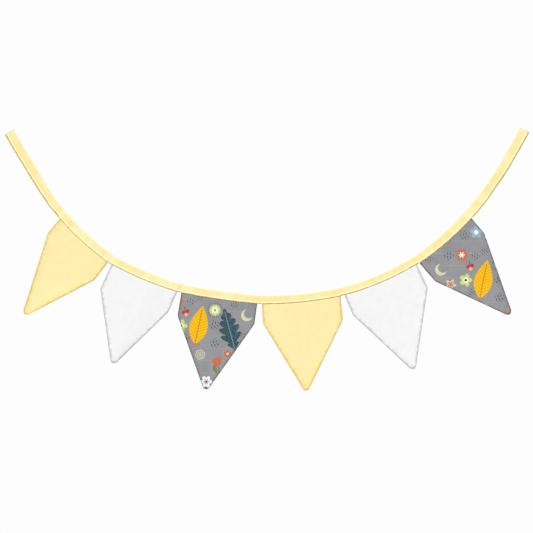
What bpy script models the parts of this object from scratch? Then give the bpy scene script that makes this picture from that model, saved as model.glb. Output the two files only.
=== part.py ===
"""Fabric bunting: a folded binding tape that hangs in a swag from its ends, with six house-shaped flags.

Metres, +Z up. The wall behind it is the plane y = 0 and its front faces -Y. The origin is on the back of the
tape's left end, where a pin goes through both layers.
"""

import math

import bmesh
import bpy

# Cloth, in metres
LEG = 0.0010  # one leg of the folded tape: its outer layer with the turned-in hem pressed to it
HEADER = 0.0012  # a flag's two layers where the tape holds them
FIELD = 0.0020  # a flag's two layers in its middle, with the air between them
ROLL = 0.0030  # the rolled seam along a flag's edges, where the seam allowances lie inside
GAP = 0.0003  # between the tape and a flag
BARE_SLIT = 0.0004  # between the tape's legs where there is no flag
OPENING_RAMP = 0.006  # how far past a flag the legs take to close again
HEADER_TOP = 0.004  # from the tape's fold down to a flag's raw top edge
PIN_INSET = 0.010  # from the tape's end to the pin

# The tape from left to right along its folded upper edge. Each row is a stretch: its length, then how it is at
# its far end: degrees below level, folded width, and how far its back stands off the wall.
START_SLOPE, START_WIDTH = 61.0, 0.0237
STRETCH_COLUMNS = ("name", "length", "slope", "width", "off_wall")
STRETCHES = [
    dict(zip(STRETCH_COLUMNS, row))
    for row in (
        ("left end", 0.0640, 58.5, 0.0231, 0.0000),
        ("left tail", 0.0780, 59.5, 0.0222, 0.0012),
        ("left tail's bend", 0.0850, 49.0, 0.0210, 0.0026),
        ("first flag", 0.1455, 36.0, 0.0201, 0.0030),
        ("first gap", 0.0061, 28.5, 0.0193, 0.0027),
        ("second flag", 0.1609, 17.0, 0.0190, 0.0034),
        ("second gap", 0.0076, 11.5, 0.0190, 0.0028),
        ("third flag", 0.1740, 5.0, 0.0190, 0.0036),
        ("third gap", 0.0092, 0.5, 0.0190, 0.0030),
        ("fourth flag", 0.1783, -11.5, 0.0182, 0.0036),
        ("fourth gap", 0.0081, -15.0, 0.0178, 0.0028),
        ("fifth flag", 0.1767, -31.5, 0.0181, 0.0032),
        ("fifth gap", 0.0052, -34.5, 0.0202, 0.0028),
        ("sixth flag", 0.1533, -48.0, 0.0210, 0.0030),
        ("right tail's start", 0.0100, -48.9, 0.0226, 0.0029),
        ("right tail's bend", 0.0750, -55.5, 0.0226, 0.0014),
        ("right tail", 0.0800, -60.0, 0.0230, 0.0000),
        ("right end", 0.0685, -62.5, 0.0240, 0.0000),
    )
]
STATION_PITCH = 0.0165  # the longest step between two sections of the tape
GAP_STEPS = 3  # steps in each gap between two flags
FOLD_STEPS = 4  # faces round the tape's fold
LOWER_EDGE = (0.0008, 0.5)  # the tape's lower edges thin over this distance to this share of LEG

# The flags from left to right. Each has two upper corners on the tape's lower edge. drop is measured square to
# the line between them, and out is how far a shoulder lies outside them. The tip is where the long sides would
# meet, and tip_along runs from the left corner. curl is how far the tip stands forward, cup how far both edges
# do, and twist how much more the right edge does.
FLAG_COLUMNS = (
    "name",
    "cloth",
    "stretch",
    "left_out",
    "left_drop",
    "right_out",
    "right_drop",
    "tip_along",
    "tip_drop",
    "curl",
    "cup",
    "twist",
)
FLAGS = [
    dict(zip(FLAG_COLUMNS, row))
    for row in (
        ("flag_1_yellow", "yellow", "first flag",
         -0.0020, 0.0429, 0.0042, 0.0519, 0.0888, 0.2288, 0.0090, 0.0030, 0.0016),
        ("flag_2_white", "white", "second flag",
         0.0018, 0.0625, -0.0015, 0.0520, 0.0917, 0.2188, 0.0040, -0.0016, -0.0014),
        ("flag_3_print", "print", "third flag",
         0.0010, 0.0537, 0.0004, 0.0475, 0.0875, 0.2209, 0.0070, 0.0024, 0.0010),
        ("flag_4_yellow", "yellow", "fourth flag",
         0.0015, 0.0451, -0.0001, 0.0545, 0.0812, 0.2172, 0.0030, 0.0034, -0.0012),
        ("flag_5_white", "white", "fifth flag",
         0.0000, 0.0506, 0.0016, 0.0600, 0.0781, 0.2283, 0.0080, -0.0014, 0.0015),
        ("flag_6_print", "print", "sixth flag",
         0.0003, 0.0554, -0.0005, 0.0452, 0.0802, 0.2373, 0.0050, 0.0032, -0.0018),
    )
]
SHOULDER_ROUND = 0.005  # how far a shoulder's rounding reaches along each side
TIP_RADIUS = 0.0085
BELOW_TAPE = 0.0006  # a flag stays as thin as its header for this far below the tape
SHOULDER_STEPS = 2  # faces round each shoulder
SIDE_STEPS = 5  # faces down each long side
INNER_COLUMNS = 3  # columns of a flag between its two rolled edges

# The rolled seam's section: the distance in from the edge, and the thickness there as a share of ROLL
ROLL_SECTION = ((0.0, 0.34), (0.0010, 0.84), (0.0026, 1.0), (0.0075, FIELD / ROLL))
RIM = [distance for distance, _ in ROLL_SECTION]
RIM_SHARES = (0.0, 0.07, 0.16, 0.30)  # the same places as shares of a flag's width, where it is narrow
RAW_EDGE = 0.9  # the raw edges in the tape are a little thinner than the rest of the header

COLORS = {"yellow": (0.98, 0.86, 0.46), "white": (0.93, 0.93, 0.94), "print": (0.30, 0.31, 0.32)}
CLOTH_ROUGHNESS = 0.85


def smooth(x):
    """Ease from 0 to 1."""
    x = min(1.0, max(0.0, x))
    return x * x * (3.0 - 2.0 * x)


def mix(a, b, share):
    return a + (b - a) * share


def lerp(p, q, share):
    """A point between two points of the plane that the bunting hangs in, each (x, z)."""
    return (mix(p[0], q[0], share), mix(p[1], q[1], share))


def table_value(table, x):
    """Straight-line value at x in a table of (place, value) rows."""
    for (x0, y0), (x1, y1) in zip(table, table[1:]):
        if x <= x1:
            return mix(y0, y1, (x - x0) / (x1 - x0))
    return table[-1][1]


class Tape:
    """The tape's route: each stretch is an arc, because its slope changes evenly along it."""

    def __init__(self):
        self.rows = []
        station, x, z = 0.0, 0.0, 0.0
        slope, width, off_wall = START_SLOPE, START_WIDTH, 0.0
        for stretch in STRETCHES:
            near = {"station": station, "x": x, "z": z, "slope": slope, "width": width, "off_wall": off_wall}
            self.rows.append((near, stretch))
            x, z = self.along_arc(near, stretch, stretch["length"])
            station += stretch["length"]
            slope, width, off_wall = stretch["slope"], stretch["width"], stretch["off_wall"]
        self.length = station
        pin_x, pin_z = self.place(PIN_INSET, self.at(PIN_INSET)["width"] / 2)
        for near, _ in self.rows:
            near["x"] -= pin_x
            near["z"] -= pin_z

    @staticmethod
    def along_arc(near, stretch, distance):
        """The point a distance along a stretch, by the chord of its arc."""
        turn = math.radians(stretch["slope"] - near["slope"]) * distance / stretch["length"]
        chord = distance * (math.sin(turn / 2) / (turn / 2) if turn else 1.0)
        heading = math.radians(near["slope"]) + turn / 2
        return near["x"] + chord * math.cos(heading), near["z"] - chord * math.sin(heading)

    def at(self, station):
        """The upper edge at a station: its place, slope in radians, width and distance off the wall."""
        for near, stretch in self.rows:
            if station <= near["station"] + stretch["length"]:
                break
        distance = min(station - near["station"], stretch["length"])
        share = distance / stretch["length"]
        x, z = self.along_arc(near, stretch, distance)
        return {
            "x": x,
            "z": z,
            "slope": math.radians(mix(near["slope"], stretch["slope"], share)),
            "width": mix(near["width"], stretch["width"], share),
            "off_wall": mix(near["off_wall"], stretch["off_wall"], smooth(share)),
        }

    def place(self, station, below):
        """The point that lies a distance below the upper edge, square to it."""
        edge = self.at(station)
        return (edge["x"] - below * math.sin(edge["slope"]), edge["z"] - below * math.cos(edge["slope"]))

    def span(self, name):
        """The stations at the two ends of a stretch."""
        for near, stretch in self.rows:
            if stretch["name"] == name:
                return near["station"], near["station"] + stretch["length"]
        raise KeyError(name)

    def slit(self, station):
        """The width of the slit between the legs: open round each flag, and nearly closed elsewhere."""
        openness = 0.0
        for flag in FLAGS:
            left, right = self.span(flag["stretch"])
            outside = max(left - station, station - right, 0.0)
            openness = max(openness, smooth(1.0 - outside / OPENING_RAMP))
        return mix(BARE_SLIT, HEADER + 2 * GAP, openness)

    def middle(self, station):
        """The depth of the plane midway between the legs."""
        return -(self.at(station)["off_wall"] + LEG + self.slit(station) / 2)

    def stations(self):
        """Where the sections are: even steps in each stretch, and where the legs close past the outer flags."""
        first, last = self.span(FLAGS[0]["stretch"])[0], self.span(FLAGS[-1]["stretch"])[1]
        found = [0.0, first - OPENING_RAMP, last + OPENING_RAMP]
        for near, stretch in self.rows:
            steps = GAP_STEPS if "gap" in stretch["name"] else math.ceil(stretch["length"] / STATION_PITCH)
            found += [near["station"] + stretch["length"] * i / steps for i in range(1, steps + 1)]
        return sorted(found)


def cloth_material(cloth):
    material = bpy.data.materials.new(f"{cloth}_cotton")
    material.use_nodes = True
    shader = material.node_tree.nodes["Principled BSDF"]
    shader.inputs["Base Color"].default_value = (*COLORS[cloth], 1.0)
    shader.inputs["Roughness"].default_value = CLOTH_ROUGHNESS
    shader.inputs["Metallic"].default_value = 0.0
    return material


def cloth_piece(name, material, shape, thickest):
    """A sheet of the shape's columns by rows faces, each point put in place, then thickened on both sides."""
    columns, rows = shape.columns, shape.rows
    bm = bmesh.new()
    bmesh.ops.create_grid(bm, x_segments=columns, y_segments=rows, size=0.5)
    weights = bm.verts.layers.deform.verify()
    for vert in bm.verts:
        column = round((vert.co.x + 0.5) * columns)
        row = round((0.5 - vert.co.y) * rows)
        vert.co = shape.place(column, row)
        vert[weights][0] = shape.thickness(column, row) / thickest
    mesh = bpy.data.meshes.new(name)
    bm.to_mesh(mesh)
    bm.free()
    mesh.shade_smooth()
    mesh.materials.append(material)
    piece = bpy.data.objects.new(name, mesh)
    piece.vertex_groups.new(name="thickness")
    solidify = piece.modifiers.new("layers", "SOLIDIFY")
    solidify.thickness = thickest
    solidify.offset = 0.0
    solidify.vertex_group = "thickness"
    solidify.use_even_offset = shape.even
    return piece


class Binding:
    """The strip folded lengthwise over the flags: a grid of the tape's stations by places across the strip."""

    even = True  # keeps both legs' faces flat beside the fold

    def __init__(self, tape):
        self.tape = tape
        self.stations = tape.stations()
        self.across = ["front edge", "front", *range(FOLD_STEPS + 1), "back", "back edge"]
        self.columns = len(self.stations) - 1
        self.rows = len(self.across) - 1

    def place(self, column, row):
        station, spot = self.stations[column], self.across[row]
        radius = (self.tape.slit(station) + LEG) / 2
        if isinstance(spot, int):
            turn = math.pi * spot / FOLD_STEPS
            below = LEG / 2 + radius * (1.0 - math.sin(turn))
            depth = -radius * math.cos(turn)
        else:
            below = self.tape.at(station)["width"] - (0.0 if "edge" in spot else LOWER_EDGE[0])
            depth = -radius if "front" in spot else radius
        x, z = self.tape.place(station, below)
        return (x, self.tape.middle(station) + depth, z)

    def thickness(self, column, row):
        return LEG * (LOWER_EDGE[1] if row in (0, self.rows) else 1.0)


class Flag:
    """A flag: a grid between its left and right sides, whose last row is the tip's arc."""

    even = False

    def __init__(self, tape, row):
        self.tape, self.row = tape, row
        self.left, self.right = tape.span(row["stretch"])
        self.corners = [tape.place(s, tape.at(s)["width"]) for s in (self.left, self.right)]
        (x0, z0), (x1, z1) = self.corners
        self.chord = math.hypot(x1 - x0, z1 - z0)
        self.along = ((x1 - x0) / self.chord, (z1 - z0) / self.chord)
        self.down = (self.along[1], -self.along[0])
        self.tip = self.local(row["tip_along"], row["tip_drop"])
        self.sides = [
            self.side(self.left, self.local(-row["left_out"], row["left_drop"])),
            self.side(self.right, self.local(self.chord + row["right_out"], row["right_drop"])),
        ]
        self.rows = len(self.sides[0]) - 1
        self.columns = 2 * (len(RIM) - 1) + INNER_COLUMNS + 1

    def local(self, along, down):
        """A point given along and square to the line between the upper corners."""
        return tuple(self.corners[0][i] + along * self.along[i] + down * self.down[i] for i in (0, 1))

    def side(self, station, shoulder):
        """One side's points, from the raw top edge to where the tip's arc starts."""
        top = [self.header_point(station, row) for row in (0, 1)]
        drop = math.dist(top[1], shoulder)
        short_side = [lerp(top[1], shoulder, share) for share in (RIM[-2] / drop, 0.5)]
        before = lerp(top[1], shoulder, 1.0 - SHOULDER_ROUND / drop)
        slant = math.dist(shoulder, self.tip)
        after = lerp(shoulder, self.tip, SHOULDER_ROUND / slant)
        corner = []
        for step in range(SHOULDER_STEPS + 1):
            share = step / SHOULDER_STEPS
            corner.append(lerp(lerp(before, shoulder, share), lerp(shoulder, after, share), share))
        arc_start = slant - TIP_RADIUS / math.tan(self.tip_angle() / 2)
        long_side = []
        for step in range(1, SIDE_STEPS + 1):
            distance = mix(SHOULDER_ROUND, arc_start - RIM[-1], step / SIDE_STEPS)
            long_side.append(lerp(shoulder, self.tip, distance / slant))
        rim = [lerp(shoulder, self.tip, (arc_start - inset) / slant) for inset in reversed(RIM[:-1])]
        return top + short_side + corner + long_side + rim

    def header_point(self, station, row):
        """A point of the header, which follows the tape's curve: row 0 is the raw edge, and row 1 just shows."""
        below = HEADER_TOP if row == 0 else self.tape.at(station)["width"] + BELOW_TAPE
        return self.tape.place(station, below)

    def tip_angle(self):
        """The angle between the two long sides."""
        row = self.row
        left_run = row["tip_along"] + row["left_out"]
        right_run = self.chord + row["right_out"] - row["tip_along"]
        left = math.atan2(left_run, row["tip_drop"] - row["left_drop"])
        right = math.atan2(right_run, row["tip_drop"] - row["right_drop"])
        return left + right

    def edge_distances(self, row):
        """The columns' distances in from the left side along a row, and the row's width."""
        width = math.dist(self.sides[0][row], self.sides[1][row])
        rim = [min(distance, share * width) for distance, share in zip(RIM, RIM_SHARES)]
        steps = INNER_COLUMNS + 1
        inner = [mix(rim[-1], width - rim[-1], step / steps) for step in range(1, steps)]
        return rim + inner + [width - distance for distance in reversed(rim)], width

    def place(self, column, row):
        distances, width = self.edge_distances(row)
        share = distances[column] / width
        x, z = lerp(self.sides[0][row], self.sides[1][row], share)
        station = mix(self.left, self.right, share)
        bow_x, bow_z = self.bow(row, share)
        drop = self.drop_share((x, z))
        across = 2.0 * share - 1.0
        edges = self.row["cup"] * across**2 + self.row["twist"] * across
        forward = self.row["curl"] * drop**2 + edges * smooth(2.0 * drop)
        return (x + bow_x, self.tape.middle(station) - forward, z + bow_z)

    def drop_share(self, point):
        """How far down the flag a point is: 0 at the tape's lower edge and 1 at the tip."""
        down = sum((point[i] - self.corners[0][i]) * self.down[i] for i in (0, 1))
        return max(0.0, down - BELOW_TAPE) / self.row["tip_drop"]

    def bow(self, row, share):
        """What bends a row off its straight line: the tape's curve at the top, the tip's arc at the bottom."""
        if row < 2:
            curve = self.header_point(mix(self.left, self.right, share), row)
            straight = lerp(self.sides[0][row], self.sides[1][row], share)
            return curve[0] - straight[0], curve[1] - straight[1]
        tip_start = self.rows - len(RIM)
        fade = 1.0 - smooth(row / tip_start)
        half = (math.pi - self.tip_angle()) / 2
        arc = TIP_RADIUS * (math.cos(half * (2.0 * share - 1.0)) - math.cos(half))
        sag = arc * smooth((row - tip_start + 1) / len(RIM))
        return tuple(top * fade + sag * down for top, down in zip(self.bow(1, share), self.down))

    def thickness(self, column, row):
        if row < 2:
            return HEADER * (RAW_EDGE if column in (0, self.columns) else 1.0)
        distances, width = self.edge_distances(row)
        from_side = min(distances[column], width - distances[column])
        from_tip = RIM[min(self.rows - row, len(RIM) - 1)]
        return ROLL * table_value(ROLL_SECTION, min(from_side, from_tip))


def main():
    for leftover in list(bpy.data.objects):
        bpy.data.objects.remove(leftover, do_unlink=True)
    bunting = bpy.data.collections.new("fabric_bunting")
    bpy.context.scene.collection.children.link(bunting)
    cottons = {cloth: cloth_material(cloth) for cloth in COLORS}
    tape = Tape()
    bunting.objects.link(cloth_piece("binding_tape", cottons["yellow"], Binding(tape), LEG))
    for row in FLAGS:
        bunting.objects.link(cloth_piece(row["name"], cottons[row["cloth"]], Flag(tape, row), ROLL))


main()
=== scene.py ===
"""Looks of the fabric bunting: a folded yellow binding tape with six house-shaped cotton flags sewn into it.

Metres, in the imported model's frame: the wall is the plane y = 0 and the front faces -Y.
"""

import math

import bmesh
import bpy
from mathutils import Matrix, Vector, noise


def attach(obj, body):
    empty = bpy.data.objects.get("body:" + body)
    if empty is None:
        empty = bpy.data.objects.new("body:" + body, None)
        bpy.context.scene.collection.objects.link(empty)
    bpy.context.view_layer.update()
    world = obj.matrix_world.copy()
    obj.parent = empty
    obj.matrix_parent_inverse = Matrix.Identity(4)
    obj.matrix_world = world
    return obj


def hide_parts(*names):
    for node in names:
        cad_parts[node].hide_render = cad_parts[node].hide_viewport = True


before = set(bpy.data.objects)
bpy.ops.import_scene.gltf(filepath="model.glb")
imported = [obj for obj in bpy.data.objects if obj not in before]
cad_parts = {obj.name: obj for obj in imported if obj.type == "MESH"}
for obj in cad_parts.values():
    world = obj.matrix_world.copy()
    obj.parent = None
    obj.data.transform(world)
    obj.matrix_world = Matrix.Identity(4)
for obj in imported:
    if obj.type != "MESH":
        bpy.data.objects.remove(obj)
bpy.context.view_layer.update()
MM = 0.001

# The solids' own sizes, as the CAD has them, but for the shoulders, which are a little crisper here
LEG = 0.0010
HEADER = 0.0012
GAP = 0.0003
BARE_SLIT = 0.0004
OPENING_RAMP = 0.006
HEADER_TOP = 0.004
PIN_INSET = 0.010
SHOULDER_ROUND = 0.003
TIP_RADIUS = 0.0085
BELOW_TAPE = 0.0006

# The tape along its folded upper edge: each stretch's length, then its slope, width and distance off the wall
# at its far end.
START_SLOPE, START_WIDTH = 61.0, 0.0237
STRETCHES = (
    ("left end", 0.0640, 58.5, 0.0231, 0.0000),
    ("left tail", 0.0780, 59.5, 0.0222, 0.0012),
    ("left tail's bend", 0.0850, 49.0, 0.0210, 0.0026),
    ("first flag", 0.1455, 36.0, 0.0201, 0.0030),
    ("first gap", 0.0061, 28.5, 0.0193, 0.0027),
    ("second flag", 0.1609, 17.0, 0.0190, 0.0034),
    ("second gap", 0.0076, 11.5, 0.0190, 0.0028),
    ("third flag", 0.1740, 5.0, 0.0190, 0.0036),
    ("third gap", 0.0092, 0.5, 0.0190, 0.0030),
    ("fourth flag", 0.1783, -11.5, 0.0182, 0.0036),
    ("fourth gap", 0.0081, -15.0, 0.0178, 0.0028),
    ("fifth flag", 0.1767, -31.5, 0.0181, 0.0032),
    ("fifth gap", 0.0052, -34.5, 0.0202, 0.0028),
    ("sixth flag", 0.1533, -48.0, 0.0210, 0.0030),
    ("right tail's start", 0.0100, -48.9, 0.0226, 0.0029),
    ("right tail's bend", 0.0750, -55.5, 0.0226, 0.0014),
    ("right tail", 0.0800, -60.0, 0.0230, 0.0000),
    ("right end", 0.0685, -62.5, 0.0240, 0.0000),
)
FLAG_COLUMNS = (
    "node", "stretch", "left_out", "left_drop", "right_out", "right_drop",
    "tip_along", "tip_drop", "curl", "cup", "twist",
)  # fmt: skip
FLAGS = [
    dict(zip(FLAG_COLUMNS, row))
    for row in (
        ("flag_1_yellow", "first flag",
         -0.0020, 0.0429, 0.0042, 0.0519, 0.0888, 0.2288, 0.0090, 0.0030, 0.0016),
        ("flag_2_white", "second flag",
         0.0018, 0.0625, -0.0015, 0.0520, 0.0917, 0.2188, 0.0040, -0.0016, -0.0014),
        ("flag_3_print", "third flag",
         0.0010, 0.0537, 0.0004, 0.0475, 0.0875, 0.2209, 0.0070, 0.0024, 0.0010),
        ("flag_4_yellow", "fourth flag",
         0.0015, 0.0451, -0.0001, 0.0545, 0.0812, 0.2172, 0.0030, 0.0034, -0.0012),
        ("flag_5_white", "fifth flag",
         0.0000, 0.0506, 0.0016, 0.0600, 0.0781, 0.2283, 0.0080, -0.0014, 0.0015),
        ("flag_6_print", "sixth flag",
         0.0003, 0.0554, -0.0005, 0.0452, 0.0802, 0.2373, 0.0050, 0.0032, -0.0018),
    )
]

# The tape's soft troughs, left to right, in millimetres: where along the tape, how deep, half how wide, and
# how far the lower end leans to the right. The last two are as pressed in, and spread once the tape hangs.
TROUGH_SPREAD, TROUGH_LEAN = 1.35, 1.6
TAPE_TROUGHS = (
    (10, 0.10, 4, 0), (35, 0.26, 5, 2), (55, 0.18, 4, 1), (87, 0.30, 6, -1), (113, 0.24, 5, 2),
    (131, 0.12, 4, 0), (145, 0.22, 5, 1), (164, 0.16, 4, 2), (178, 0.24, 4, 3), (193, 0.14, 4, 3),
    (210, 0.24, 5, 4), (232, 0.20, 4, 3), (253, 0.26, 5, 1), (270, 0.12, 3, 0), (286, 0.20, 5, 0),
    (306, 0.28, 5, -1), (326, 0.22, 4, -2), (341, 0.14, 3, -2), (352, 0.30, 4, -2), (366, 0.20, 4, -2),
    (381, 0.12, 4, -2), (398, 0.26, 5, -3), (417, 0.20, 4, -3), (431, 0.26, 5, -4), (452, 0.16, 4, -4),
    (476, 0.24, 5, -4), (506, 0.20, 5, -3), (526, 0.12, 4, -4), (541, 0.42, 3, -5), (560, 0.12, 5, -3),
    (581, 0.24, 6, -4), (600, 0.18, 5, -3), (629, 0.26, 6, -4), (651, 0.14, 4, -3), (674, 0.22, 6, -3),
    (701, 0.16, 5, -2), (721, 0.40, 3, -2), (738, 0.14, 4, -1), (764, 0.22, 6, 1), (791, 0.20, 6, 2),
    (818, 0.26, 7, 3), (842, 0.14, 5, 3), (869, 0.22, 6, 4), (896, 0.24, 5, 4), (913, 0.40, 3, 5),
    (929, 0.12, 4, 4), (947, 0.22, 5, 4), (968, 0.14, 4, 3), (986, 0.22, 5, 3), (1010, 0.30, 5, 3),
    (1024, 0.24, 4, 3), (1043, 0.14, 4, 2), (1058, 0.24, 5, 2), (1075, 0.12, 4, 2), (1092, 0.38, 3, 3),
    (1112, 0.16, 4, 2), (1129, 0.28, 5, 2), (1147, 0.20, 4, 1), (1164, 0.22, 5, 2), (1187, 0.26, 5, 1),
    (1208, 0.18, 4, 0), (1234, 0.24, 5, -1), (1256, 0.22, 4, 0), (1282, 0.28, 6, 1), (1302, 0.14, 4, 1),
    (1325, 0.24, 6, 2), (1357, 0.26, 5, 1), (1376, 0.14, 4, 0), (1391, 0.22, 5, -1), (1426, 0.26, 6, 0),
    (1457, 0.20, 5, 1),
)  # fmt: skip
# Each flag's soft folds, in millimetres and degrees: along and down from its upper left corner, which way
# the fold runs (0 is across and 90 is down), half its length and width, and its depth (a ridge is negative).
FLAG_FOLDS = {
    "flag_1_yellow": ((46, 46, 62, 48, 15, 0.32), (96, 70, 118, 42, 17, -0.27), (88, 140, 80, 40, 13, 0.23),
                      (28, 60, 100, 26, 8, -0.18), (128, 36, 70, 24, 9, 0.23)),
    "flag_2_white": ((40, 60, 78, 46, 16, 0.27), (108, 52, 104, 44, 18, -0.27), (80, 128, 96, 40, 14, 0.23),
                     (134, 84, 60, 24, 9, 0.18), (62, 172, 86, 22, 8, -0.18)),
    "flag_3_print": ((50, 50, 96, 50, 16, 0.27), (120, 64, 76, 44, 16, -0.23), (84, 120, 88, 46, 14, 0.23),
                     (28, 88, 110, 26, 9, -0.18), (142, 42, 84, 22, 8, 0.18)),
    "flag_4_yellow": ((44, 48, 84, 50, 17, 0.27), (118, 56, 100, 46, 18, -0.27), (82, 130, 92, 44, 15, 0.23),
                      (150, 70, 78, 26, 9, 0.23), (40, 106, 64, 24, 9, -0.18)),
    "flag_5_white": ((54, 56, 100, 50, 16, 0.32), (132, 66, 82, 46, 17, -0.23), (84, 138, 88, 46, 14, 0.23),
                     (24, 62, 52, 24, 9, 0.18), (108, 176, 70, 22, 8, -0.18)),
    "flag_6_print": ((44, 56, 74, 46, 15, 0.27), (104, 60, 98, 46, 16, -0.23), (80, 134, 92, 44, 13, 0.23),
                     (126, 92, 116, 24, 8, -0.18), (58, 190, 84, 22, 7, 0.18)),
}  # fmt: skip

# A turned flag's edge from its seam inwards: how far in from the outline, and half the thickness there
EDGE = [
    (inward * MM, half * MM)
    for inward, half in (
        (0.30, 0.0), (0.03, 0.34), (0.16, 0.72), (0.44, 1.06), (0.85, 1.31), (1.40, 1.42),
        (2.20, 1.43), (3.20, 1.39), (4.60, 1.31), (6.40, 1.23), (8.60, 1.18),
    )
]  # fmt: skip
BEAD = EDGE[5][0]  # the part of the edge that stays as wide where the flag is narrow
HEADER_ROWS = (HEADER_TOP, 0.0075, 0.0115, 0.0155, None)  # down from the fold; None is just below the tape
FIELD_COLUMNS = 34
SHORT_SIDE_ROWS, SHOULDER_ROWS, LONG_SIDE_ROWS = 20, 5, 66
NEAR_EDGE = 0.006  # how far in from the seam the edge's own puckers and fullness reach
FREE_FROM = 0.012  # how far below its upper corners the tape still holds a flag back
FOLDS_FROM = 0.035  # how far below them its folds have their full depth
RIM_WAVES, FIELD_WAVES, GATHERS = 0.62 * MM, 0.22 * MM, 0.20 * MM
GATHERS_REACH = 0.014
RIM_CHANGE = 0.16  # how unevenly full the rim is, as a share of its thickness
OPENING_OUT = 0.30  # how fast a flag gets thicker below the tape
BACK_CUT = 0.31  # a front point's place across the cloth and its twin's on the back add up to this
WELD = 1e-7  # how near each other points are joined

# The strip that the tape is folded from
CLOTH = 0.0004
OUTER, HEM = 0.00075, 0.00030  # each layer's middle, out from the slit's face
HEM_SHARE = 0.34  # how much of the folded width the turned-in hems take
HEM_EDGE_DROP = 0.02  # how far below the stitches the hem's raw edge lies, as a share of the width
TAPE_PITCH = 0.003
TAPE_ENDS = (0.0, 0.0004, 0.0010, 0.0018)  # the first and last stretch, where the layers are pressed together
PINCHED = 0.45  # how thick the very ends are, as a share
FOLD_FACES = 8
HEM_FOLD_FACES = 4
# The points from a hem's raw edge to its fold, as shares of the way, and those of the outer layer, as shares
# of the folded width
HEM_SPOTS = (0.0, 0.35, 0.72)
OUTER_SPOTS = (0.985, 0.965, 0.94, 0.91, 0.875, 0.84, 0.80, 0.765, 0.735, 0.71, 0.69, 0.67, 0.652, 0.636,
               0.62, 0.604, 0.585, 0.55, 0.48, 0.40, 0.32, 0.24, 0.17)  # fmt: skip
OFF_WALL, FACE_OFF_WALL = 0.25 * MM, 0.05 * MM  # how near the wall the cloth's middle and its face may come
STITCH = {"length": 0.0023, "pitch": 0.0030, "radius": 0.00019, "inset": 0.0045}
STITCH_PLUMP, STITCH_WANDER = 0.8, 0.004

# The tape's relief: shares are of the folded width, down from the fold
TAIL_RAMP = 0.03  # how far past the flags the tape is as uneven as it gets
HEM_LINES, HEM_LINE_RAMP = (0.70, 0.64), 0.05  # where the stitches lie at the flags and on the bare tails
WOBBLE, TAIL_WOBBLE = 0.25, 0.8  # how uneven the width is, in millimetres
CREST, CREST_RISE, CREST_END = 0.66, 0.15, 0.86  # the raised hem's height in millimetres, and its slopes
CREST_CHANGE, LONG_CREST_CHANGE = 0.30, 0.25
GROOVE, GROOVE_WIDTH = 0.24, 0.022  # the stitches' groove: its depth in millimetres, and its width
SLIGHT_PULL = 0.15 * MM
PULL_RISE, PULL_FALL, PULL_FALL_RAMP = 0.22, 0.45, 0.2  # a trough starts at the fold and eases over the hem
TROUGH_REACH = 3.0

# The tape's painted shade, from about 0 on flat cloth to 1 deep in a crease
DARK_PULL, PUCKER_POWER, PUCKER_AT_FOLD = 0.3 * MM, 1.5, 0.55  # a pull of DARK_PULL has a tone of 1
# Painted shade in soft patches along the tape: its strength, how much it changes, and its lean
PATCH_SHADE, PATCH_SHADE_CHANGE, PATCH_LEAN = 0.08, 0.75, 0.010
LEAN_TURNS, LEAN_RAMP = 0.6, 0.3  # where the patches' lean starts to turn over, and how far that takes
# Painted shade above the hem on the bare tails: its strength, how much it changes, how far up and how wide
HEM_SHADE, HEM_SHADE_CHANGE = 0.35, 1.3
HEM_SHADE_UP, HEM_SHADE_WIDTH = 0.07, 0.06
# The painted shade along the tape's lower fold, and the painted shade and highlight at its cut ends
EDGE_SHADE_SHIFTS = (0.0011, 0.0006)  # how much wider the edge's tone is when bare, and narrower over a flag
END_SHADING = (1.1, 0.0005)  # the ends' own tone: how fast its distance grows inwards, and from what

# The tape's unevenness: how large its bumps are in metres, a number that gives it a pattern of its own, and
# how far apart in it the two faces are taken
TAPE_BUMPS = {
    "width": (0.014, 5.5, 0.0),
    "tail width": (0.026, 8.3, 0.0),
    "pull": (0.019, 3.1, 30.0),
    "crest": (0.009, 7.7, 9.0),
    "long crest": (0.026, 1.3, 4.0),
    "stitch line": (0.020, 2.2, 1.0),
    "patches": (0.034, 4.4, 1.0),
    "hem shade": (0.040, 6.6, 1.0),
}
# The flags' unevenness: how large its bumps are in metres, and a number that gives it a pattern of its own
FLAG_BUMPS = {
    "rim": (0.0085, 0.0), "field": (0.034, 9.0), "gathers": (0.0075, 4.0), "fullness": (0.0065, 2.0),
}  # fmt: skip
FLAG_PATTERN_STEP = 3.7  # what sets each flag's patterns apart from its neighbour's


def smooth(x):
    """Ease from 0 to 1."""
    x = min(1.0, max(0.0, x))
    return x * x * (3.0 - 2.0 * x)


def mix(a, b, share):
    return a + (b - a) * share


def lerp(p, q, share):
    return (mix(p[0], q[0], share), mix(p[1], q[1], share))


def rumple(x, y, size, pattern):
    """Smooth unevenness between about -1 and 1, with bumps about as large as size."""
    return noise.noise(Vector((x / size, y / size, pattern)))


def along_tape(kind, station, side=0):
    """The tape's unevenness of a kind: side is 1 for the front, -1 for the back and 0 for both."""
    size, pattern, apart = TAPE_BUMPS[kind]
    return rumple(station, apart * side, size, pattern)


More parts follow.
